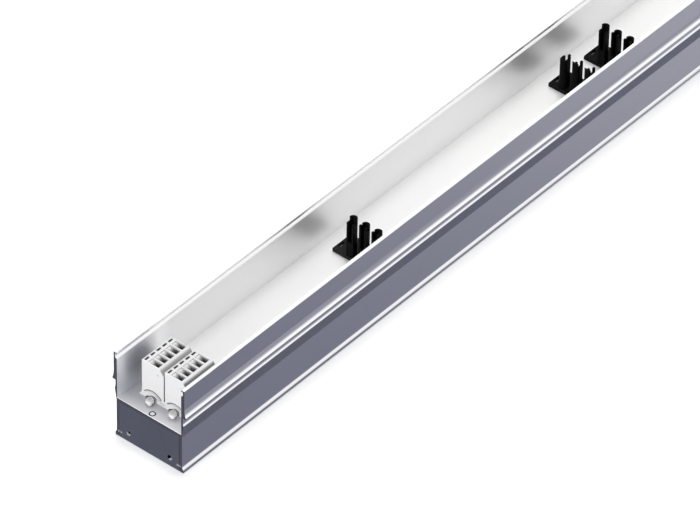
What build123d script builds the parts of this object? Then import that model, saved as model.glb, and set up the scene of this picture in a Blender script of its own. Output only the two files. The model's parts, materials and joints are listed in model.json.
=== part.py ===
from build123d import *
import os

# Linear power feed rail: one extruded H-section with an open wiring channel on top, a closed-off
# chamber below, two five-pole push-in terminal blocks at the near end and cable combs on the floor
# of the channel.
# Frame: +X along the rail, near end (terminals) at -X, +Y across, +Z up. Origin at the centre of
# the underside.

os.makedirs("parts", exist_ok=True)

# Rail length and main section
rail_length = 1000.0
rail_width = 65.0
rail_height = 76.4
wall = 3.0
channel_depth = 41.5
web = 2.9

# Lip and groove for a snap-in cover, on the inner side of both upper walls
lip_thickness = 1.25
groove_skin = 1.4
groove_back_depth = 4.3
groove_end_depth = 5.8

# Upper bracket ridge on the outer side: a concave flare that ends in a thin nose
ridge_depth = 24.2
ridge_flare = 7.0
ridge_reach = 1.25
ridge_nose = 1.2

# Recess under the ridge, with a second, smaller flare below it
recess_inset = 1.5
recess_height = 4.4
lip_flare = 2.8
lip_inset = 0.8
lip_nose = 0.5

# Lower box: inset walls, reached by a long chamfer, and a foot that flares out again
box_inset = 2.35
box_wall = 2.4
box_chamfer = 10.4
foot_height = 2.6
foot_inset = 1.1
foot_flare = 2.9

# Groove for a bottom cover, on the inner side of both lower walls
bottom_groove_height = 4.0
bottom_groove_width = 1.6
bottom_groove_skin = 1.1

# End plates that close the lower chamber
plate_thickness = 7.0
plate_clearance = 0.25
plate_hole = 3.7
plate_thread_hole = 2.9
plate_hole_inset = 11.2
plate_hole_height = 7.5
plate_hole_chamfer = 0.25
plate_notch_depth = 2.4
screw_head = 4.3
screw_head_clearance = 0.35
screw_shank = 2.9
screw_length = 14.0
screw_tip_gap = 1.0
hole_clearance = 0.1

# Five-pole push-in terminal blocks
poles = 5
pole_pitch = 6.2
block_end_wall = 0.4
block_width = 20.3
block_pitch = 21.2
block_height = 30.2
block_from_end = 15.9
shoulder_width = 3.5
shoulder_height = 5.0
entry_length = 9.6
entry_width = 5.1
entry_depth = 14.0
entry_from_edge = 5.3
ramp_length = 3.4
ramp_start = 0.8
ramp_end = 4.2
test_length = 4.4
test_width = 1.8
test_depth = 9.0
test_from_edge = 2.1
block_edge = 0.35
nub_diameter = 2.4
nub_height = 0.5
nub_from_edge = 14.4
nub_from_top = 7.5

# Carrier under the blocks, with a wavy front edge of two arches, each hollow below
carrier_slab = 2.0
arch_reach = 2.2
arch_radius = 10.0
arch_height = 5.9
arch_dip = 0.8
arch_dip_fillet = 2.0
hollow_radius = 5.6
hollow_height = 3.1
hollow_depth = 6.2
seam_width = 0.45
seam_depth = 1.2

# Fixing posts in front of the carrier
post_head = 6.0
post_head_height = 2.5
post_neck = 3.4
post_height = 5.0
post_from_end = 9.8
post_offset = -2.7
post_shank = 3.2
post_chamfer = 0.5

# Cable combs: a slotted base plate and upright channel posts. Combs 1 and 3 are tall and open
# towards the near end, combs 2 and 4 are low and open the other way.
comb_starts = (218.0, 464.3, 506.1)
comb_plate_length = 20.5
comb_plate = 3.0
comb_from_wall = 12.2
comb_side_gap = 0.4
comb_posts = 3
comb_post_length = 6.8
comb_post_gap = 5.0
comb_post_wall = 1.6
comb_post_from_end = 0.6
comb_saddle = 13.0
comb_tip_length = 1.8
comb_tip_height = 3.6
comb_head_length = 3.4
tall_comb_height = 34.0
tall_comb_inset = 12.2
low_comb_height = 29.6
low_comb_inset = 7.6
comb_slot_length = 6.0
comb_slot_width = 2.6
comb_slot_from_end = 4.8
comb_slot_from_edge = 0.9

# Places that follow from the sizes above
top = rail_height
web_top = top - channel_depth
web_bottom = web_top - web
half_width = rail_width / 2
inner_half = half_width - wall
near_end = -rail_length / 2
far_end = rail_length / 2
box_half = half_width - box_inset
box_inner_half = box_half - box_wall
foot_half = half_width - foot_inset
plate_half = box_inner_half - plate_clearance
block_length = poles * pole_pitch + 2 * block_end_wall
block_front = near_end + block_from_end
block_centres = (block_pitch / 2, -block_pitch / 2)
post_x = near_end + post_from_end
post_places = [(post_x, y + post_offset) for y in block_centres]
comb_edge = inner_half - comb_from_wall
comb_plate_width = comb_edge + inner_half - comb_side_gap
comb_post_pitch = (comb_plate_width - tall_comb_inset) / comb_posts
comb_post_width = comb_post_pitch - comb_post_gap
low_comb_starts = (comb_starts[1], rail_length - comb_starts[0] - comb_plate_length)


# Extruded rail
with BuildPart() as rail_profile:
    with BuildSketch(Plane.YZ) as section:
        with BuildLine() as outline:
            ridge_z = top - ridge_depth
            recess_z = ridge_z - ridge_nose
            lip_z = recess_z - recess_height - lip_flare
            chamfer_z = lip_z - lip_nose
            box_z = chamfer_z - box_chamfer
            floor = Line((0, web_top), (inner_half, web_top))
            inner = Polyline(
                floor @ 1,
                (inner_half, top - groove_end_depth),
                (half_width - groove_skin, top - groove_back_depth),
                (half_width - groove_skin, top - lip_thickness),
                (inner_half, top - lip_thickness),
                (inner_half, top),
                (half_width, top),
                (half_width, ridge_z + ridge_flare),
            )
            upper_flare = TangentArc(inner @ 1, (half_width + ridge_reach, ridge_z), tangent=(0, -1))
            under_ridge = Polyline(
                upper_flare @ 1,
                (half_width + ridge_reach, recess_z),
                (half_width - recess_inset, recess_z),
                (half_width - recess_inset, recess_z - recess_height),
            )
            lower_flare = TangentArc(under_ridge @ 1, (half_width - lip_inset, lip_z), tangent=(0, -1))
            lower_wall = Polyline(
                lower_flare @ 1,
                (half_width - lip_inset, chamfer_z),
                (box_half, box_z),
                (box_half, foot_height + foot_flare),
            )
            foot_arc = TangentArc(lower_wall @ 1, (foot_half, foot_height), tangent=(0, -1))
            underside = Polyline(
                foot_arc @ 1,
                (foot_half, 0),
                (box_inner_half, 0),
                (box_inner_half, bottom_groove_height),
                (box_half - bottom_groove_skin, bottom_groove_height),
                (box_half - bottom_groove_skin, bottom_groove_height + bottom_groove_width),
                (box_inner_half, bottom_groove_height + bottom_groove_width),
                (box_inner_half, web_bottom),
                (0, web_bottom),
            )
            mirror(about=Plane.YZ)
        make_face()
    extrude(amount=rail_length / 2, both=True)
    with Locations(
        (near_end + plate_thickness / 2, 0, web_top),
        (far_end - plate_thickness / 2, 0, web_top),
    ):
        Hole(screw_head / 2 + screw_head_clearance, depth=web)
    with Locations([(x, y, web_top) for x, y in post_places]):
        Hole(post_shank / 2 + hole_clearance, depth=web)
rail_profile.part.label = "rail_profile"
export_step(rail_profile.part, "parts/rail_profile.step")

# End plates under the web, between the lower walls, each held by a flush screw from above. The
# near plate has clearance holes and the far one thread-forming holes, so that rails join in line.
for name, end, inward, hole in (
    ("near", near_end, 1, plate_hole),
    ("far", far_end, -1, plate_thread_hole),
):
    middle = end + inward * plate_thickness / 2
    with BuildPart() as end_plate:
        with BuildSketch(Plane.XY):
            with Locations((middle, 0)):
                Rectangle(plate_thickness, 2 * plate_half)
        extrude(amount=web_bottom)
        with BuildSketch(Plane.YZ.offset(end)):
            with Locations(
                (box_half - plate_hole_inset, plate_hole_height),
                (plate_hole_inset - box_half, plate_hole_height),
            ):
                Circle(hole / 2)
            with Locations((0, bottom_groove_height + bottom_groove_width / 2)):
                Rectangle(2 * plate_half, bottom_groove_width)
                Rectangle(2 * (plate_half - plate_notch_depth), bottom_groove_width, mode=Mode.SUBTRACT)
        extrude(amount=inward * plate_thickness, mode=Mode.SUBTRACT)
        outer_face = end_plate.faces().sort_by(Axis.X)[0 if inward > 0 else -1]
        chamfer(outer_face.edges().filter_by(GeomType.CIRCLE), plate_hole_chamfer)
        with Locations((middle, 0, web_bottom)):
            Hole(screw_shank / 2 + hole_clearance, depth=screw_length)
    end_plate.part.label = f"end_plate_{name}"
    export_step(end_plate.part, f"parts/end_plate_{name}.step")

    with BuildPart() as plate_screw:
        with BuildSketch(Plane.XY.offset(web_top)):
            with Locations((middle, 0)):
                Circle(screw_head / 2)
        extrude(amount=-web)
        with BuildSketch(Plane.XY.offset(web_bottom)):
            with Locations((middle, 0)):
                Circle(screw_shank / 2)
        extrude(amount=screw_tip_gap - screw_length)
    plate_screw.part.label = f"plate_screw_{name}"
    export_step(plate_screw.part, f"parts/plate_screw_{name}.step")

# Carrier under both terminal blocks: a slab whose front edge is a wave of two hollow arches
arch_centre_z = web_top + arch_height - arch_radius
carrier_width = block_pitch + block_width
with BuildPart() as terminal_carrier:
    with BuildSketch(Plane.XY.offset(web_top)):
        with Locations((block_front + block_length / 2, 0)):
            Rectangle(block_length, carrier_width)
    extrude(amount=carrier_slab)
    with BuildSketch(Plane.YZ.offset(block_front)) as wave:
        for side in block_centres:
            with Locations((side, arch_centre_z)):
                Circle(arch_radius)
        with Locations((0, web_top)):
            Rectangle(carrier_width, 2 * arch_dip)
        with Locations((0, web_top + arch_radius)):
            Rectangle(carrier_width, 2 * arch_radius, mode=Mode.INTERSECT)
        fillet(wave.vertices().group_by(Axis.Y)[-1].sort_by(Axis.X)[1:-1], arch_dip_fillet)
    extrude(amount=-arch_reach)
    with BuildSketch(Plane.YZ.offset(block_front - arch_reach)):
        for side in block_centres:
            with Locations((side, web_top + hollow_height - hollow_radius)):
                Circle(hollow_radius)
        with Locations((0, web_top + hollow_radius)):
            Rectangle(carrier_width, 2 * hollow_radius, mode=Mode.INTERSECT)
    extrude(amount=hollow_depth, mode=Mode.SUBTRACT)
terminal_carrier.part.label = "terminal_carrier"
export_step(terminal_carrier.part, "parts/terminal_carrier.step")

# Terminal blocks: a row of wire entries and a row of test slots in the top, one sloping shoulder
block_floor = web_top + carrier_slab
block_top = web_top + block_height
for number, y in enumerate(block_centres, start=1):
    left = y + block_width / 2
    right = y - block_width / 2
    with BuildPart() as terminal_block:
        with BuildSketch(Plane.YZ.offset(block_front)):
            with BuildLine():
                Polyline(
                    (right, block_floor),
                    (left, block_floor),
                    (left, block_top),
                    (right + shoulder_width, block_top),
                    (right, block_top - shoulder_height),
                    close=True,
                )
            make_face()
        extrude(amount=block_length)
        chamfer(terminal_block.edges().filter_by(Axis.Z), block_edge)
        chamfer(terminal_block.faces().sort_by(Axis.Z)[-1].edges(), block_edge)
        test_y = left - test_from_edge
        first_pole = block_front + block_end_wall + pole_pitch / 2
        pole_xs = [first_pole + i * pole_pitch for i in range(poles)]
        entry_left = left - entry_from_edge
        entry_right = entry_left - entry_length
        ramp_right = entry_left - ramp_length
        for x in pole_xs:
            with BuildSketch(Plane.YZ.offset(x - entry_width / 2)):
                with BuildLine():
                    Polyline(
                        (entry_left, block_top),
                        (entry_left, block_top - ramp_start),
                        (ramp_right, block_top - ramp_end),
                        (ramp_right, block_top - entry_depth),
                        (entry_right, block_top - entry_depth),
                        (entry_right, block_top),
                        close=True,
                    )
                make_face()
            extrude(amount=entry_width, mode=Mode.SUBTRACT)
        with BuildSketch(Plane.XY.offset(block_top)):
            with Locations([(x, test_y) for x in pole_xs]):
                Rectangle(test_length, test_width)
        extrude(amount=-test_depth, mode=Mode.SUBTRACT)
        with BuildSketch(Plane.YZ.offset(block_front)):
            with Locations((left - nub_from_edge, block_top - nub_from_top)):
                Circle(nub_diameter / 2)
        extrude(amount=-nub_height)
        with BuildSketch(Plane.YZ.offset(block_front)):
            with Locations((y, arch_centre_z)):
                Circle(arch_radius + seam_width)
                Circle(arch_radius, mode=Mode.SUBTRACT)
        extrude(amount=seam_depth, mode=Mode.SUBTRACT)
    terminal_block.part.label = f"terminal_block_{number}"
    export_step(terminal_block.part, f"parts/terminal_block_{number}.step")

# Fixing posts: a round head on a neck, and a shank through the web
for number, place in enumerate(post_places, start=1):
    with BuildPart() as fixing_post:
        with BuildSketch(Plane.XY.offset(web_top)):
            with Locations(place):
                Circle(post_neck / 2)
        extrude(amount=post_height)
        with BuildSketch(Plane.XY.offset(web_top + post_height)):
            with Locations(place):
                Circle(post_head / 2)
        extrude(amount=-post_head_height)
        chamfer(fixing_post.edges().sort_by(Axis.Z)[-1], post_chamfer)
        with BuildSketch(Plane.XY.offset(web_top)):
            with Locations(place):
                Circle(post_shank / 2)
        extrude(amount=-web)
    fixing_post.part.label = f"fixing_post_{number}"
    export_step(fixing_post.part, f"parts/fixing_post_{number}.step")

# Cable combs. The near and far ends of a post stand up as tips above its side walls, except that
# the post next to the wide lane has no near tip.
tall_combs = [(near_end + start, 1) for start in (comb_starts[0], comb_starts[2])]
low_combs = [(near_end + start, -1) for start in low_comb_starts]
plate_top = web_top + comb_plate
for number, (start, facing) in enumerate(sorted(tall_combs + low_combs), start=1):
    tall = facing > 0
    height = tall_comb_height if tall else low_comb_height
    inset = tall_comb_inset if tall else low_comb_inset
    post_start = start + comb_post_from_end
    post_middle = post_start + comb_post_length / 2
    post_end = post_start + comb_post_length
    round_centre = post_end - comb_post_width / 2 if tall else post_start + comb_post_width / 2
    straight = comb_post_length - comb_post_width / 2
    straight_centre = post_middle - facing * comb_post_width / 4
    post_ys = [
        comb_edge - inset - comb_post_width / 2 - i * comb_post_pitch for i in range(comb_posts)
    ]
    with BuildPart() as cable_comb:
        with BuildSketch(Plane.XY.offset(web_top)):
            with Locations((start + comb_plate_length / 2, comb_edge - comb_plate_width / 2)):
                Rectangle(comb_plate_length, comb_plate_width)
            with Locations(
                (
                    start + comb_slot_from_end + comb_slot_length / 2,
                    comb_edge - comb_slot_from_edge - comb_slot_width / 2,
                )
            ):
                Rectangle(comb_slot_length, comb_slot_width, mode=Mode.SUBTRACT)
        extrude(amount=comb_plate)
        with BuildSketch(Plane.XY.offset(plate_top)):
            for y in post_ys:
                with Locations((straight_centre, y)):
                    Rectangle(straight, comb_post_width)
                with Locations((round_centre, y)):
                    Circle(comb_post_width / 2)
        extrude(amount=height)
        with BuildSketch(Plane.XY.offset(plate_top + comb_saddle)):
            for y in post_ys:
                with Locations((straight_centre, y)):
                    Rectangle(straight, comb_post_width - 2 * comb_post_wall)
                with Locations((round_centre, y)):
                    Circle(comb_post_width / 2 - comb_post_wall)
        extrude(amount=height, mode=Mode.SUBTRACT)
        head_length = comb_head_length if tall else comb_tip_length
        low_end = post_end - head_length
        with BuildSketch(Plane.XY.offset(plate_top + height)):
            for y in post_ys:
                low_start = post_start if y == post_ys[0] else post_start + comb_tip_length
                with Locations(((low_start + low_end) / 2, y)):
                    Rectangle(low_end - low_start, comb_post_width)
            if not tall:
                with Locations([(post_end - head_length / 2, y + comb_post_width / 4) for y in post_ys]):
                    Rectangle(head_length, comb_post_width / 2)
        extrude(amount=-comb_tip_height, mode=Mode.SUBTRACT)
    cable_comb.part.label = f"cable_comb_{number}"
    export_step(cable_comb.part, f"parts/cable_comb_{number}.step")
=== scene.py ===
import json
import math

import bpy
from mathutils import Matrix, Vector


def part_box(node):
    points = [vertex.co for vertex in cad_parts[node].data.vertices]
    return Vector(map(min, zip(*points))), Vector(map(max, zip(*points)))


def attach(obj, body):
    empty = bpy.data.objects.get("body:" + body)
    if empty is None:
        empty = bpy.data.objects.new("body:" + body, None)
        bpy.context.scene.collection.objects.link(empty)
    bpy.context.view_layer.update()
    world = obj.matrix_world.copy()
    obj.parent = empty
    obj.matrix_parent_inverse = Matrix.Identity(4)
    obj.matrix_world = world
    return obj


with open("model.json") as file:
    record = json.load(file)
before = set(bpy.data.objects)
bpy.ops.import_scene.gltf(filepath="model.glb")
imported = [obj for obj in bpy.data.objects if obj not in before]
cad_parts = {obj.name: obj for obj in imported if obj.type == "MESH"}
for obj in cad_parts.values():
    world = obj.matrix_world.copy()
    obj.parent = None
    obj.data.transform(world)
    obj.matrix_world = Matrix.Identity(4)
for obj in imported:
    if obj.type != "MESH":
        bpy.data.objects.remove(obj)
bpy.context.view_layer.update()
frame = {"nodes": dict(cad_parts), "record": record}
nodes = frame["nodes"]

# Camera of the photograph: place in metres, angles in degrees, lens and sensor in millimetres
CAMERA_PLACE = (-3.1713, -2.3631, 3.2437)
CAMERA_AZIMUTH = 50.711
CAMERA_ELEVATION = 40.689
CAMERA_ROLL = 1.052
CAMERA_LENS = 355.4
SENSOR_WIDTH = 36.0

# Floor, in metres: its light to the camera grows with the distance from the rail
FLOOR_SIZE = 14.0
FLOOR_DROP = 0.0004
FLOOR_COLOUR = (0.80, 0.80, 0.81)
FLOOR_LIFT = 0.36
FLOOR_LIFT_AWAY = 0.7
FLOOR_NEAR = 1.2

# Studio that the metal mirrors, from straight below (0) over the horizon (0.5) to straight above
AMBIENT = (0.25, 0.25, 0.255)
STUDIO_STOPS = (
    (0.0, (0.060, 0.064, 0.088)),
    (0.0825, (0.080, 0.085, 0.114)),
    (0.1125, (0.105, 0.111, 0.148)),
    (0.1425, (0.138, 0.145, 0.196)),
    (0.1625, (0.162, 0.168, 0.232)),
    (0.1695, (0.166, 0.172, 0.234)),
    (0.1735, (0.200, 0.206, 0.269)),
    (0.1775, (0.242, 0.248, 0.308)),
    (0.181, (0.292, 0.298, 0.358)),
    (0.1875, (0.405, 0.413, 0.475)),
    (0.21, (0.325, 0.332, 0.390)),
    (0.2325, (0.275, 0.282, 0.340)),
    (0.26, (0.360, 0.367, 0.420)),
    (0.2975, (0.530, 0.538, 0.580)),
    (0.322, (1.15, 1.16, 1.18)),
    (0.358, (1.15, 1.16, 1.18)),
    (0.369, (0.86, 0.87, 0.89)),
    (0.405, (0.90, 0.91, 0.92)),
    (0.42, (1.12, 1.13, 1.14)),
    (0.50, (1.0, 1.0, 1.0)),
    (0.60, (0.80, 0.80, 0.80)),
    (0.70, (0.80, 0.80, 0.80)),
    (0.80, (1.0, 1.0, 1.0)),
    (0.86, (1.0, 1.0, 1.0)),
    (1.0, (0.62, 0.62, 0.62)),
)
# The deep ground is darker towards -X, and the sky lighter towards +Y
GROUND_DRIFT = 0.06
GROUND_DEEP = -0.45
SKY_LIFT = 0.31
SKY_DRIFT = 0.19
SKY_EDGE = 4.0

# Rail, in metres
HALF_LENGTH = 0.5
INNER_HALF = 0.0295
WEB_TOP = 0.0349
SAWN_EDGE = 0.0006
SKIN = 0.0001
FINE_RELIEF = 0.000005

# Painted light and shade inside the channel at the terminals' end: a place, and the length over
# which they fade
FLOOR_PAINTED_LIGHT_FROM = (-0.42, 0.36)
FLOOR_SHADE_TO = (-0.4525, 0.012)
FLOOR_SHADE_FROM = (-0.499, 0.009)
WALL_PAINTED_COOL_TO = (-0.444, 0.012)
WALL_PAINTED_LIGHT_FROM = (-0.470, 0.006)
WALL_SHADE_FROM = (-0.499, 0.020)
WALL_SHADE_TO = (-0.465, 0.008)
WALL_SHADE_BOTTOM = (0.034, 0.018)
WALL_SHADE_TOP = (0.076, 0.012)
WALL_SHADE_MIDDLE = 0.064
WALL_SHADE_SLANT = 0.67

# End plates and their screws, in metres
PLATE_HOLE_Y = 0.01895
PLATE_HOLE_Z = 0.0075
PLATE_HOLE_MOUTH = 0.0021
PLATE_HOLE_RADIUS = 0.00185
PLATE_HOLE_LIT_DEPTH = 0.0015
PLATE_SLOT_Z = 0.0048
PLATE_SLOT_HALF = 0.001
PLATE_SLOT_LIT_DEPTH = 0.0025
PLATE_HALF = 0.0275
SCREW_X = 0.4965
SCREW_RING = 0.00265
SCREW_FACE = 0.00175

# Terminal blocks and their wire entries, in metres
POLES = 5
POLE_PITCH = 0.0062
BLOCK_PITCH = 0.0212
BLOCK_TOP = 0.0651
END_WALL = 0.0004
NUB = 0.0005
ENTRY_WIDTH = 0.0051
ENTRY_LENGTH = 0.0096
ENTRY_DEPTH = 0.014
ENTRY_FROM_EDGE = 0.0053
RAMP_LENGTH = 0.0034
TEST_FROM_EDGE = 0.0012
ENTRY_SHADE_DEPTH = 0.0058
CLAMP_SHEET = 0.0003

# Carrier and posts, in metres
ARCH_RADIUS = 0.010
ARCH_RISE = 0.0059
SEAM_WIDTH = 0.00045
HOLLOW_RADIUS = 0.0056
HOLLOW_RISE = 0.0031
POST_NECK = 0.0025
POST_RADIUS = 0.003

# Cable combs, in metres
COMB_PLATE = 0.003

# Tones of the plastics: the white pieces run from light to dark, and painted shade in deep openings
# goes almost to black
BLOCK_LIGHT = (0.815, 0.815, 0.813)
BLOCK_DARK = (0.775, 0.775, 0.773)
PAINTED_SHADE_BLACK = (0.02, 0.02, 0.02)


class Socket:
    """A node's output that can stand in an expression."""

    def __init__(self, tree, socket):
        self.tree = tree
        self.socket = socket

    def _math(self, operation, first, second):
        return self.tree.node("ShaderNodeMath", {"operation": operation}, {0: first, 1: second})

    def __add__(self, other):
        return self._math("ADD", self, other)

    __radd__ = __add__

    def __sub__(self, other):
        return self._math("SUBTRACT", self, other)

    def __rsub__(self, other):
        return self._math("SUBTRACT", other, self)

    def __mul__(self, other):
        return self._math("MULTIPLY", self, other)

    __rmul__ = __mul__

    def __truediv__(self, other):
        return self._math("DIVIDE", self, other)

    def __pow__(self, other):
        return self._math("POWER", self, other)

    def above(self, edge):
        return self._math("GREATER_THAN", self, edge)

    def below(self, edge):
        return self._math("LESS_THAN", self, edge)

    def between(self, low, high):
        return self.above(low) * self.below(high)

    def held(self):
        """The value kept between 0 and 1."""
        return self.tree.node("ShaderNodeClamp", None, {0: self})

    def rise(self, start, length):
        """0 up to the start, then growing to 1 over the length."""
        return ((self - start) / length).held()

    def fall(self, end, length):
        """1 until the length before the end, then shrinking to 0 at the end."""
        return ((end - self) / length).held()

    def absolute(self):
        return self._math("ABSOLUTE", self, 0.0)


class Tree:
    """The node tree of a material, of the world or of a Geometry Nodes group."""

    def __init__(self, node_tree):
        self.nodes = node_tree.nodes
        self.links = node_tree.links
        self.nodes.clear()

    def node(self, kind, settings=None, inputs=None, output=0):
        made = self.nodes.new(kind)
        for name, value in (settings or {}).items():
            if name == "stops":
                ramp = made.color_ramp
                while len(ramp.elements) > 1:
                    ramp.elements.remove(ramp.elements[-1])
                ramp.elements[0].position = value[0][0]
                ramp.elements[0].color = (*value[0][1], 1.0)
                for position, colour in value[1:]:
                    ramp.elements.new(position).color = (*colour, 1.0)
            else:
                setattr(made, name, value)
        for key, value in (inputs or {}).items():
            target = made.inputs[key]
            if isinstance(value, list):
                for part in reversed(value):
                    self.links.new(part.socket, target)
            elif isinstance(value, Socket):
                self.links.new(value.socket, target)
            elif target.type == "RGBA":
                target.default_value = (*value, 1.0) if len(value) == 3 else value
            else:
                target.default_value = value
        return Socket(self, made.outputs[output]) if made.outputs else made

    def mix(self, factor, first, second):
        return self.node(
            "ShaderNodeMix",
            {"data_type": "RGBA"},
            {0: factor, 6: first, 7: second},
            output=2,
        )

    def place(self):
        return self.node("ShaderNodeTexCoord", output=3)

    def vector(self, x, y, z):
        return self.node("ShaderNodeCombineXYZ", None, {0: x, 1: y, 2: z})

    def parts(self, vector):
        """The three numbers of a vector."""
        return [self.node("ShaderNodeSeparateXYZ", None, {0: vector}, output=i) for i in range(3)]

    def normal(self):
        return self.node("ShaderNodeNewGeometry", output=1)

    def noise(self, stretch, scale, detail=3.0, roughness=0.5):
        """Noise on the object's own coordinates, with a scale of its own along each axis."""
        vector = self.node(
            "ShaderNodeVectorMath", {"operation": "MULTIPLY"}, {0: self.place(), 1: stretch}
        )
        return self.node(
            "ShaderNodeTexNoise",
            None,
            {"Vector": vector, "Scale": scale, "Detail": detail, "Roughness": roughness},
        )


def far_from(first, first_middle, second, second_middle):
    """How far a point lies from an axis, from its two numbers across that axis."""
    return ((first - first_middle) ** 2.0 + (second - second_middle) ** 2.0) ** 0.5


def new_material(name):
    material = bpy.data.materials.new(name)
    material.use_nodes = True
    return material, Tree(material.node_tree)


def finish_material(tree, constants, varying, height, strength, distance):
    """Closes a material with its shader and bump; constants go on the sockets themselves."""
    bump = {"Strength": strength, "Distance": distance, "Height": height}
    inputs = {**constants, **varying, "Normal": tree.node("ShaderNodeBump", None, bump)}
    shader = tree.node("ShaderNodeBsdfPrincipled", None, inputs)
    tree.node("ShaderNodeOutputMaterial", None, {"Surface": shader})


def plastic_noises(tree):
    """Spark-eroded grain and faint flow clouds of a moulded piece."""
    grain = tree.noise((1.0, 1.0, 1.0), 2600.0, 2.0)
    flow = tree.noise((1.0, 1.0, 1.0), 70.0, 3.0)
    return grain, flow


def finish_plastic(tree, colour, roughness, flow, grain, strength=0.12, ior=1.47):
    """Closes a moulded plastic, with its flow in the gloss and its grain in the bump."""
    finish_material(
        tree,
        {"Metallic": 0.0, "IOR": ior},
        {"Base Color": colour, "Roughness": roughness + 0.10 * (flow - 0.5)},
        grain,
        strength,
        0.00003,
    )


def extruded_aluminium(name, light, dark):
    """Satin extruded aluminium: faint die lines along X, sawn ends and a paler channel floor.

    The outer faces are the smoothest. Painted shade makes rings round the plate screws dark.
    Painted light makes the channel floor paler still from the blocks on and puts a painted
    highlight along its sawn edge; painted light and painted shade lie on the inner walls next to
    the terminal blocks, and painted shade on the floor next to them.
    """
    material, tree = new_material(name)
    x, y, z = tree.parts(tree.place())
    normal_x, _, normal_z = tree.parts(tree.normal())
    lines = tree.noise((0.6, 260.0, 260.0), 4.0, 2.0, 0.6)
    hair = tree.noise((4.0, 900.0, 900.0), 4.0, 2.0, 0.6)
    clouds = tree.noise((1.0, 1.0, 1.0), 9.0, 3.0)
    saw = tree.noise((500.0, 500.0, 30.0), 4.0, 2.0)
    is_end = normal_x.absolute().above(0.9)
    is_up = normal_z.above(0.9)
    is_outer = y.absolute().above(INNER_HALF + 0.0005)
    in_channel = (1.0 - is_outer) * z.above(WEB_TOP - SKIN)
    channel_floor = in_channel * is_up
    inner_wall = in_channel * (1.0 - is_up)
    at_edge = x.absolute().above(HALF_LENGTH - SAWN_EDGE)
    colour = tree.mix(0.3 * lines + 0.2 * hair + 0.5 * clouds, dark, light)

    # Painted light: the channel floor is paler from the blocks on, with a painted highlight along
    # its sawn edge
    pale = channel_floor * (0.28 + 0.52 * x.rise(*FLOOR_PAINTED_LIGHT_FROM)) + channel_floor * at_edge
    colour = tree.mix(pale.held(), colour, (0.99, 0.985, 0.975))
    # Painted shade on the channel floor next to and in front of the blocks
    painted_floor_shade = x.fall(*FLOOR_SHADE_TO) * (0.62 + 0.38 * x.rise(*FLOOR_SHADE_FROM)) * (1.0 - at_edge)
    colour = tree.mix(0.5 * channel_floor * painted_floor_shade, colour, (0.0, 0.0, 0.06))

    # Painted light and shade on the inner walls: a painted cool, paler reflection next to the
    # blocks, painted light past them, and painted shade where they face them
    painted_cool_light = x.fall(*WALL_PAINTED_COOL_TO)
    colour = tree.mix(inner_wall * painted_cool_light, colour, (0.91, 0.925, 0.965))
    colour = tree.mix(inner_wall * painted_cool_light * x.rise(*WALL_PAINTED_LIGHT_FROM), colour, (1.0, 1.0, 1.0))
    slanted = x + WALL_SHADE_SLANT * (z - WALL_SHADE_MIDDLE)
    painted_wall_shade = x.rise(*WALL_SHADE_FROM) * slanted.fall(*WALL_SHADE_TO)
    painted_wall_shade = painted_wall_shade * z.rise(*WALL_SHADE_BOTTOM) * z.fall(*WALL_SHADE_TOP)
    colour = tree.mix(0.39 * inner_wall * painted_wall_shade, colour, (0.0, 0.0, 0.06))

    sawn = tree.mix(saw, tuple(0.45 * part for part in dark), tuple(0.55 * part for part in light))
    colour = tree.mix(is_end, colour, sawn)
    # Painted shade: a dark ring on the rail round each plate screw
    ring = far_from(x.absolute(), SCREW_X, y, 0.0).below(SCREW_RING) * z.below(WEB_TOP + SKIN)
    colour = tree.mix(ring, colour, (0.03, 0.03, 0.035))
    drawn_finish = 0.44 - 0.32 * is_outer + 0.06 * (lines - 0.5) + 0.05 * (clouds - 0.5)
    sawn_finish = 0.16 + 0.1 * (saw - 0.5)
    finish_material(
        tree,
        {},
        {
            "Base Color": colour,
            "Roughness": drawn_finish * (1.0 - is_end) + sawn_finish * is_end,
            "Metallic": 0.97 - 0.55 * is_up,
        },
        (1.0 - is_end) * (0.6 * lines + 0.4 * hair) + 2.0 * is_end * saw,
        0.035,
        0.00006,
    )
    return material


def milled_aluminium(name, light, dark, roughness):
    """Milled plate: fine cutter marks, a painted highlight on the lower lip in each hole and side
    slot, and painted shade inside each hole.
    """
    material, tree = new_material(name)
    x, y, z = tree.parts(tree.place())
    marks = tree.noise((60.0, 60.0, 700.0), 4.0, 2.0, 0.6)
    clouds = tree.noise((1.0, 1.0, 1.0), 40.0, 3.0)
    depth = HALF_LENGTH - x.absolute()
    is_side = tree.parts(tree.normal())[0].absolute().below(0.9)
    from_hole = far_from(y.absolute(), PLATE_HOLE_Y, z, PLATE_HOLE_Z)
    in_hole = is_side * from_hole.below(PLATE_HOLE_MOUTH)
    low_side = 0.6 * (y.absolute() - PLATE_HOLE_Y) - 0.8 * (z - PLATE_HOLE_Z)
    lip = in_hole * depth.below(PLATE_HOLE_LIT_DEPTH) * low_side.above(0.42 * PLATE_HOLE_RADIUS)
    slot = z.between(PLATE_SLOT_Z - PLATE_SLOT_HALF, PLATE_SLOT_Z + PLATE_SLOT_HALF)
    slot = is_side * slot * depth.below(PLATE_SLOT_LIT_DEPTH)
    slot = slot * y.absolute().below(PLATE_HALF - SKIN)
    painted_highlight = (lip + slot).held()
    colour = tree.mix(0.5 * marks + 0.5 * clouds, dark, light)
    # Painted shade: the inside of each hole is almost black
    colour = tree.mix(in_hole, colour, (0.02, 0.02, 0.025))
    finish_material(
        tree,
        {},
        {
            "Base Color": tree.mix(painted_highlight, colour, (0.93, 0.93, 0.94)),
            "Roughness": roughness + 0.10 * (marks - 0.5) + 0.06 * (clouds - 0.5),
            "Metallic": 1.0 - 0.9 * painted_highlight,
        },
        marks + 6.0 * lip * depth / FINE_RELIEF,
        1.0,
        FINE_RELIEF,
    )
    return material


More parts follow.
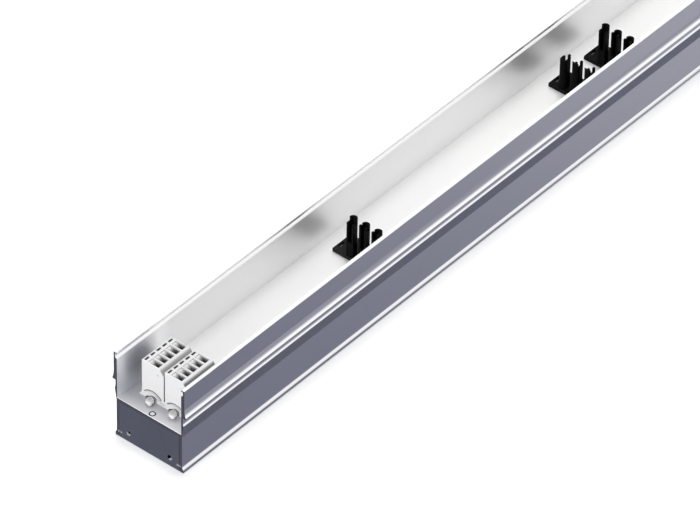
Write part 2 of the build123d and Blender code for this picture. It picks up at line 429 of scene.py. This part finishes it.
def zinc_steel(name):
    """Zinc-plated steel with a fine spangle, and painted shade in the gap round the screw's face.
    """
    material, tree = new_material(name)
    x, y, _ = tree.parts(tree.place())
    painted_gap_shade = far_from(x.absolute(), SCREW_X, y, 0.0).between(SCREW_FACE, SCREW_RING)
    spangle = tree.noise((1.0, 1.0, 1.0), 900.0, 3.0)
    clouds = tree.noise((1.0, 1.0, 1.0), 120.0, 3.0)
    colour = tree.mix(spangle, (0.66, 0.66, 0.67), (0.90, 0.90, 0.91))
    finish_material(
        tree,
        {"Metallic": 1.0},
        {
            "Base Color": tree.mix(painted_gap_shade, colour, (0.03, 0.03, 0.035)),
            "Roughness": 0.22 + 0.14 * (clouds - 0.5),
        },
        spangle,
        0.1,
        0.00004,
    )
    return material


def spring_steel(name):
    """Bright spring strip of the wire clamps, with painted shade deeper down the openings."""
    material, tree = new_material(name)
    z = tree.parts(tree.place())[2]
    rolled = tree.noise((1.0, 30.0, 1.0), 300.0, 2.0)
    shade = 0.8 * z.fall(BLOCK_TOP, ENTRY_SHADE_DEPTH) ** 1.6
    finish_material(
        tree,
        {"Metallic": 0.4},
        {
            "Base Color": tree.mix(shade, (0.82, 0.82, 0.81), PAINTED_SHADE_BLACK),
            "Roughness": 0.36 + 0.1 * (rolled - 0.5),
        },
        rolled,
        0.1,
        0.00002,
    )
    return material


def comb_plastic(name, light, dark):
    """Black moulded plastic with a satin skin; painted light makes the base plates paler, the first
    comb's plate most.
    """
    material, tree = new_material(name)
    x, _, z = tree.parts(tree.place())
    grain, flow = plastic_noises(tree)
    colour = tree.mix(0.7 * flow + 0.3 * grain, dark, light)
    # Painted light on the base plates, strongest on the first comb's plate
    painted_plate_light = z.below(WEB_TOP + COMB_PLATE + SKIN) * (0.3 + 0.7 * x.below(-0.2))
    colour = tree.mix(painted_plate_light, colour, (0.019, 0.019, 0.019))
    finish_plastic(tree, colour, 0.30, flow, grain, strength=0.2, ior=1.08)
    return material


def terminal_plastic(name, light, dark, block):
    """White moulded plastic of one terminal block.

    Painted shade darkens it down its wire entries and test slots, along the seam over the carrier's
    arch, on its sides and on its sloping shoulder.
    """
    low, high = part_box(block)
    material, tree = new_material(name)
    x, y, z = tree.parts(tree.place())
    normal_x, normal_y, _ = tree.parts(tree.normal())
    grain, flow = plastic_noises(tree)
    front = low[0] + NUB
    depth = high[2] - z
    entry_high = high[1] - ENTRY_FROM_EDGE
    entry_low = entry_high - ENTRY_LENGTH

    in_row = x.between(front + END_WALL, high[0] - END_WALL)
    in_entries = y.between(entry_low - SKIN, entry_high + SKIN)
    in_tests = y.between(entry_high + 0.001, high[1] - TEST_FROM_EDGE + SKIN)
    entry_shade = depth.rise(0.0, ENTRY_SHADE_DEPTH) ** 1.2
    over_ramp = y.rise(entry_high - 0.6 * ENTRY_LENGTH, 0.6 * ENTRY_LENGTH)
    entry_shade = entry_shade * (1.0 - 0.65 * over_ramp)
    test_shade = depth.rise(0.0, 0.4 * ENTRY_SHADE_DEPTH) ** 0.8
    openings = in_row * (in_entries * entry_shade + in_tests * test_shade)

    arch_z = WEB_TOP + ARCH_RISE - ARCH_RADIUS
    from_arch = far_from(y, 0.5 * (low[1] + high[1]), z, arch_z)
    seam = from_arch.between(ARCH_RADIUS - 2.0 * SKIN, ARCH_RADIUS + SEAM_WIDTH + SKIN)
    seam = seam * x.below(front + 0.0013) * z.above(WEB_TOP + 0.0012)

    outside = y.above(high[1] - 0.0004) + y.below(low[1] + 0.0004)
    sides = 0.35 * outside * normal_y.absolute().above(0.9) * depth.rise(0.002, 0.016)
    shoulder = y.below(entry_low - 0.0008) * normal_x.absolute().below(0.7)
    # Painted shade on the shoulder is stronger on the block by the -Y wall
    shoulder_shade = 0.78 if low[1] < -0.01 else 0.5
    shoulder = shoulder_shade * shoulder * depth.rise(0.0003, 0.0014)

    shade = (0.97 * openings + 0.9 * seam + sides + shoulder).held()
    colour = tree.mix(shade, tree.mix(0.7 * flow + 0.3 * grain, dark, light), PAINTED_SHADE_BLACK)
    finish_plastic(tree, colour, 0.42, flow, grain)
    return material


def carrier_plastic(name, light, dark):
    """White moulded plastic of the carrier, with painted shade in the hollow of each arch."""
    low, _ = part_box("terminal_carrier")
    material, tree = new_material(name)
    x, y, z = tree.parts(tree.place())
    grain, flow = plastic_noises(tree)
    hollow_z = WEB_TOP + HOLLOW_RISE - HOLLOW_RADIUS
    in_hollow = far_from(y.absolute(), 0.5 * BLOCK_PITCH, z, hollow_z).below(HOLLOW_RADIUS + SKIN)
    shade = 0.95 * in_hollow * x.rise(low[0], 0.0012)
    colour = tree.mix(shade, tree.mix(0.7 * flow + 0.3 * grain, dark, light), PAINTED_SHADE_BLACK)
    finish_plastic(tree, colour, 0.42, flow, grain)
    return material


def post_plastic(name, post):
    """One white fixing post with a grey top, and painted shade on its edge towards the carrier."""
    low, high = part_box(post)
    middle_x = (low[0] + high[0]) / 2
    middle_y = (low[1] + high[1]) / 2
    material, tree = new_material(name)
    x, y, z = tree.parts(tree.place())
    grain, flow = plastic_noises(tree)
    in_head = z.above(WEB_TOP + POST_NECK)
    is_up = tree.parts(tree.normal())[2].above(0.5)
    from_middle = far_from(x, middle_x, y, middle_y)
    # Painted shade on the head's edge towards the carrier
    painted_back_shade = from_middle.above(0.78 * POST_RADIUS) * (x + y).above(middle_x + middle_y)
    colour = tree.mix(flow, (0.92, 0.92, 0.91), (0.95, 0.95, 0.94))
    grey = tree.mix(from_middle.below(0.55 * POST_RADIUS), (0.50, 0.50, 0.50), (0.40, 0.40, 0.40))
    colour = tree.mix(in_head * is_up, colour, grey)
    colour = tree.mix(in_head * painted_back_shade, colour, (0.08, 0.08, 0.08))
    finish_plastic(tree, colour, 0.36, flow, grain)
    return material


# Finishes: the terminals' white pieces have one each, placed by the piece's own box
finish_of_slot = {
    "rail_aluminium": extruded_aluminium(
        "satin_extruded_aluminium", (0.885, 0.885, 0.887), (0.855, 0.856, 0.86)
    ),
    "plate_aluminium": milled_aluminium(
        "milled_end_plate", (0.55, 0.56, 0.60), (0.50, 0.51, 0.55), 0.24
    ),
    "screw_steel": zinc_steel("zinc_plated_steel"),
    "comb_plastic": comb_plastic(
        "black_comb_plastic", (0.005, 0.005, 0.0055), (0.0025, 0.0025, 0.0025)
    ),
}
for subpart in frame["record"]["subparts"]:
    piece_name = subpart["node"]
    if piece_name.startswith("terminal_block"):
        finish = terminal_plastic(piece_name + "_plastic", BLOCK_LIGHT, BLOCK_DARK, piece_name)
    elif piece_name.startswith("fixing_post"):
        finish = post_plastic(piece_name + "_plastic", piece_name)
    elif piece_name == "terminal_carrier":
        finish = carrier_plastic("terminal_carrier_plastic", BLOCK_LIGHT, BLOCK_DARK)
    else:
        finish = finish_of_slot[subpart["material_slot"]]
    nodes[piece_name].data.materials.clear()
    nodes[piece_name].data.materials.append(finish)


def clamp_tree(finish):
    """Geometry Nodes for one row of wire clamps: a cage floor, a cage back and a bent leaf each.

    A clamp's origin is the middle of its wire entry, at the top of the block.
    """
    group = bpy.data.node_groups.new("wire_clamps", "GeometryNodeTree")
    group.interface.new_socket("Geometry", in_out="OUTPUT", socket_type="NodeSocketGeometry")
    for label, kind in (
        ("Poles", "NodeSocketInt"),
        ("Pole pitch", "NodeSocketFloat"),
        ("First pole", "NodeSocketVector"),
        ("Width", "NodeSocketFloat"),
        ("Length", "NodeSocketFloat"),
        ("Depth", "NodeSocketFloat"),
        ("Ramp", "NodeSocketFloat"),
        ("Sheet", "NodeSocketFloat"),
    ):
        group.interface.new_socket(label, in_out="INPUT", socket_type=kind)
    tree = Tree(group)
    inputs = [item.name for item in group.interface.items_tree if item.in_out == "INPUT"]
    given = {label: tree.node("NodeGroupInput", output=i) for i, label in enumerate(inputs)}
    width, length, depth = given["Width"], given["Length"], given["Depth"]
    ramp, sheet = given["Ramp"], given["Sheet"]

    # Places and sizes of the parts of one clamp; the gap keeps them clear of the entry's walls
    gap = 0.5 * sheet
    cage_length = length - ramp - 3.0 * sheet
    cage_y = -0.5 * ramp - sheet
    cage_height = 0.62 * depth
    cage_z = 0.5 * cage_height + gap - depth
    cage_width = width - 2.0 * gap
    floor_z = gap + 0.5 * sheet - depth
    back_y = gap + 0.5 * sheet - 0.5 * length
    ramp_foot = 0.5 * length - ramp

    def plate(size, place):
        cube = tree.node("GeometryNodeMeshCube", None, {"Size": tree.vector(*size)})
        return tree.node(
            "GeometryNodeTransform", None, {"Geometry": cube, "Translation": tree.vector(*place)}
        )

    cage_floor = plate((cage_width, cage_length, sheet), (0.0, cage_y, floor_z))
    cage_back = plate((cage_width, sheet, cage_height), (0.0, back_y, cage_z))
    bend = tree.node(
        "GeometryNodeCurvePrimitiveBezierSegment",
        None,
        {
            "Resolution": 14,
            "Start": tree.vector(0.0, 0.5 * length - 1.2 * sheet, -1.4 * sheet),
            "Start Handle": tree.vector(0.0, ramp_foot + 0.55 * ramp, 0.2 * sheet),
            "End Handle": tree.vector(0.0, ramp_foot - 1.6 * sheet, -0.9 * ramp),
            "End": tree.vector(0.0, ramp_foot - 1.2 * sheet, -0.45 * depth),
        },
    )
    strip = tree.node(
        "GeometryNodeCurvePrimitiveQuadrilateral", None, {"Width": width - sheet, "Height": sheet}
    )
    leaf = tree.node(
        "GeometryNodeCurveToMesh", None, {"Curve": bend, "Profile Curve": strip, "Fill Caps": True}
    )
    clamp = tree.node("GeometryNodeJoinGeometry", None, {"Geometry": [cage_floor, cage_back, leaf]})
    row = tree.node(
        "GeometryNodeMeshLine",
        None,
        {
            "Count": given["Poles"],
            "Start Location": given["First pole"],
            "Offset": tree.vector(given["Pole pitch"], 0.0, 0.0),
        },
    )
    clamps = tree.node("GeometryNodeInstanceOnPoints", None, {"Points": row, "Instance": clamp})
    clamps = tree.node("GeometryNodeRealizeInstances", None, {"Geometry": clamps})
    clamps = tree.node("GeometryNodeSetMaterial", None, {"Geometry": clamps, "Material": finish})
    tree.node("NodeGroupOutput", None, {"Geometry": clamps})
    return group


def grown(name, group, values):
    """Runs a Geometry Nodes tree with these values and keeps its result as a plain mesh."""
    holder = bpy.data.objects.new(name + "_holder", bpy.data.meshes.new(name + "_holder"))
    bpy.context.scene.collection.objects.link(holder)
    modifier = holder.modifiers.new("grow", "NODES")
    modifier.node_group = group
    for item in group.interface.items_tree:
        if item.in_out == "INPUT" and item.name in values:
            modifier[item.identifier] = values[item.name]
    evaluated = holder.evaluated_get(bpy.context.evaluated_depsgraph_get())
    mesh = bpy.data.meshes.new_from_object(evaluated)
    holder.modifiers.remove(modifier)
    bpy.data.objects.remove(holder)
    piece = bpy.data.objects.new(name, mesh)
    bpy.context.scene.collection.objects.link(piece)
    return piece


# Wire clamps, seen down the entries of both blocks
clamps_tree = clamp_tree(spring_steel("clamp_spring_steel"))
for number in (1, 2):
    low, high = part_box(f"terminal_block_{number}")
    first_pole = (
        low[0] + NUB + END_WALL + 0.5 * POLE_PITCH,
        high[1] - ENTRY_FROM_EDGE - 0.5 * ENTRY_LENGTH,
        high[2],
    )
    clamps = grown(
        f"wire_clamps_{number}",
        clamps_tree,
        {
            "Poles": POLES,
            "Pole pitch": POLE_PITCH,
            "First pole": first_pole,
            "Width": ENTRY_WIDTH,
            "Length": ENTRY_LENGTH,
            "Depth": ENTRY_DEPTH,
            "Ramp": RAMP_LENGTH,
            "Sheet": CLAMP_SHEET,
        },
    )
    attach(clamps, "root")

# Floor: pale, lifted to white for the camera, and it keeps the shadow
reach = FLOOR_SIZE / 2
corners = ((-reach, -reach), (reach, -reach), (reach, reach), (-reach, reach))
floor_mesh = bpy.data.meshes.new("floor")
floor_mesh.from_pydata([(x, y, -FLOOR_DROP) for x, y in corners], [], [(0, 1, 2, 3)])
floor = bpy.data.objects.new("floor", floor_mesh)
bpy.context.scene.collection.objects.link(floor)
floor.visible_glossy = False
floor_material, tree = new_material("pale_floor")
is_camera = tree.node("ShaderNodeLightPath", output=0)
floor_x, floor_y, _ = tree.parts(tree.place())
away = far_from(floor_x, 0.0, floor_y, 0.0).rise(FLOOR_NEAR, FLOOR_NEAR)
lit = tree.node("ShaderNodeBsdfDiffuse", None, {"Color": FLOOR_COLOUR})
lift = tree.node(
    "ShaderNodeEmission",
    None,
    {"Color": (1.0, 1.0, 1.0), "Strength": is_camera * (FLOOR_LIFT + FLOOR_LIFT_AWAY * away)},
)
both = tree.node("ShaderNodeAddShader", None, {0: lit, 1: lift})
tree.node("ShaderNodeOutputMaterial", None, {"Surface": both})
floor_mesh.materials.append(floor_material)

# World: white to the camera; metal mirrors a white sky over a dark ground with one white strip
world = bpy.data.worlds.new("studio")
world.use_nodes = True
world.cycles.sampling_method = "NONE"
bpy.context.scene.world = world
tree = Tree(world.node_tree)
x_part, y_part, z_part = tree.parts(tree.node("ShaderNodeTexCoord", output=0))
drift = GROUND_DRIFT * x_part * x_part.below(0.0) * z_part.below(GROUND_DEEP)
studio = tree.node(
    "ShaderNodeValToRGB", {"stops": STUDIO_STOPS}, {0: 0.5 + 0.5 * z_part + drift}
)
is_sky = tree.node(
    "ShaderNodeMath",
    {"operation": "MULTIPLY_ADD", "use_clamp": True},
    {0: z_part, 1: SKY_EDGE, 2: 0.5},
)
gain = 1.0 + is_sky * (SKY_LIFT + SKY_DRIFT * y_part)
studio = tree.node("ShaderNodeVectorMath", {"operation": "SCALE"}, {0: studio, "Scale": gain})
is_camera = tree.node("ShaderNodeLightPath", output=0)
is_glossy = tree.node("ShaderNodeLightPath", output=3)
colour = tree.mix(is_glossy, AMBIENT, studio)
colour = tree.mix(is_camera, colour, (1.0, 1.0, 1.0))
background = tree.node("ShaderNodeBackground", None, {"Color": colour, "Strength": 1.0})
tree.node("ShaderNodeOutputWorld", None, {"Surface": background})


def area_light(name, place, target, size, power):
    """A soft rectangular lamp, which metal doesn't mirror."""
    data = bpy.data.lights.new(name, "AREA")
    data.shape = "RECTANGLE"
    data.size, data.size_y = size
    data.energy = power
    lamp = bpy.data.objects.new(name, data)
    bpy.context.scene.collection.objects.link(lamp)
    lamp.location = place
    lamp.rotation_mode = "QUATERNION"
    lamp.rotation_quaternion = (Vector(target) - Vector(place)).to_track_quat("-Z", "Y")
    lamp.visible_glossy = False
    lamp.visible_camera = False


# Lamps: place, target and size in metres, power in watts
area_light("key", (-3.6, 0.2, 0.9), (-0.2, 0.0, 0.0), (1.2, 1.2), 66.0)
area_light("top_light", (0.2, 0.25, 3.5), (0.0, 0.0, 0.0), (1.6, 1.6), 84.0)

# Camera
camera_data = bpy.data.cameras.new("camera")
camera_data.sensor_width = SENSOR_WIDTH
camera_data.lens = CAMERA_LENS
camera_data.clip_start = 0.1
camera_data.clip_end = 100.0
camera_data.dof.use_dof = False
camera = bpy.data.objects.new("camera", camera_data)
bpy.context.scene.collection.objects.link(camera)
azimuth = math.radians(CAMERA_AZIMUTH)
elevation = math.radians(CAMERA_ELEVATION)
forward = Vector(
    (
        math.sin(azimuth) * math.cos(elevation),
        math.cos(azimuth) * math.cos(elevation),
        -math.sin(elevation),
    )
)
right = Vector((math.cos(azimuth), -math.sin(azimuth), 0.0))
up = right.cross(forward)
roll = math.radians(CAMERA_ROLL)
right_rolled = math.cos(roll) * right + math.sin(roll) * up
up_rolled = -math.sin(roll) * right + math.cos(roll) * up
camera.rotation_mode = "QUATERNION"
turned = Matrix((right_rolled, up_rolled, -forward)).transposed()
camera.rotation_quaternion = turned.to_quaternion()
camera.location = CAMERA_PLACE
bpy.context.scene.camera = camera
bpy.context.scene.view_settings.view_transform = "Standard"
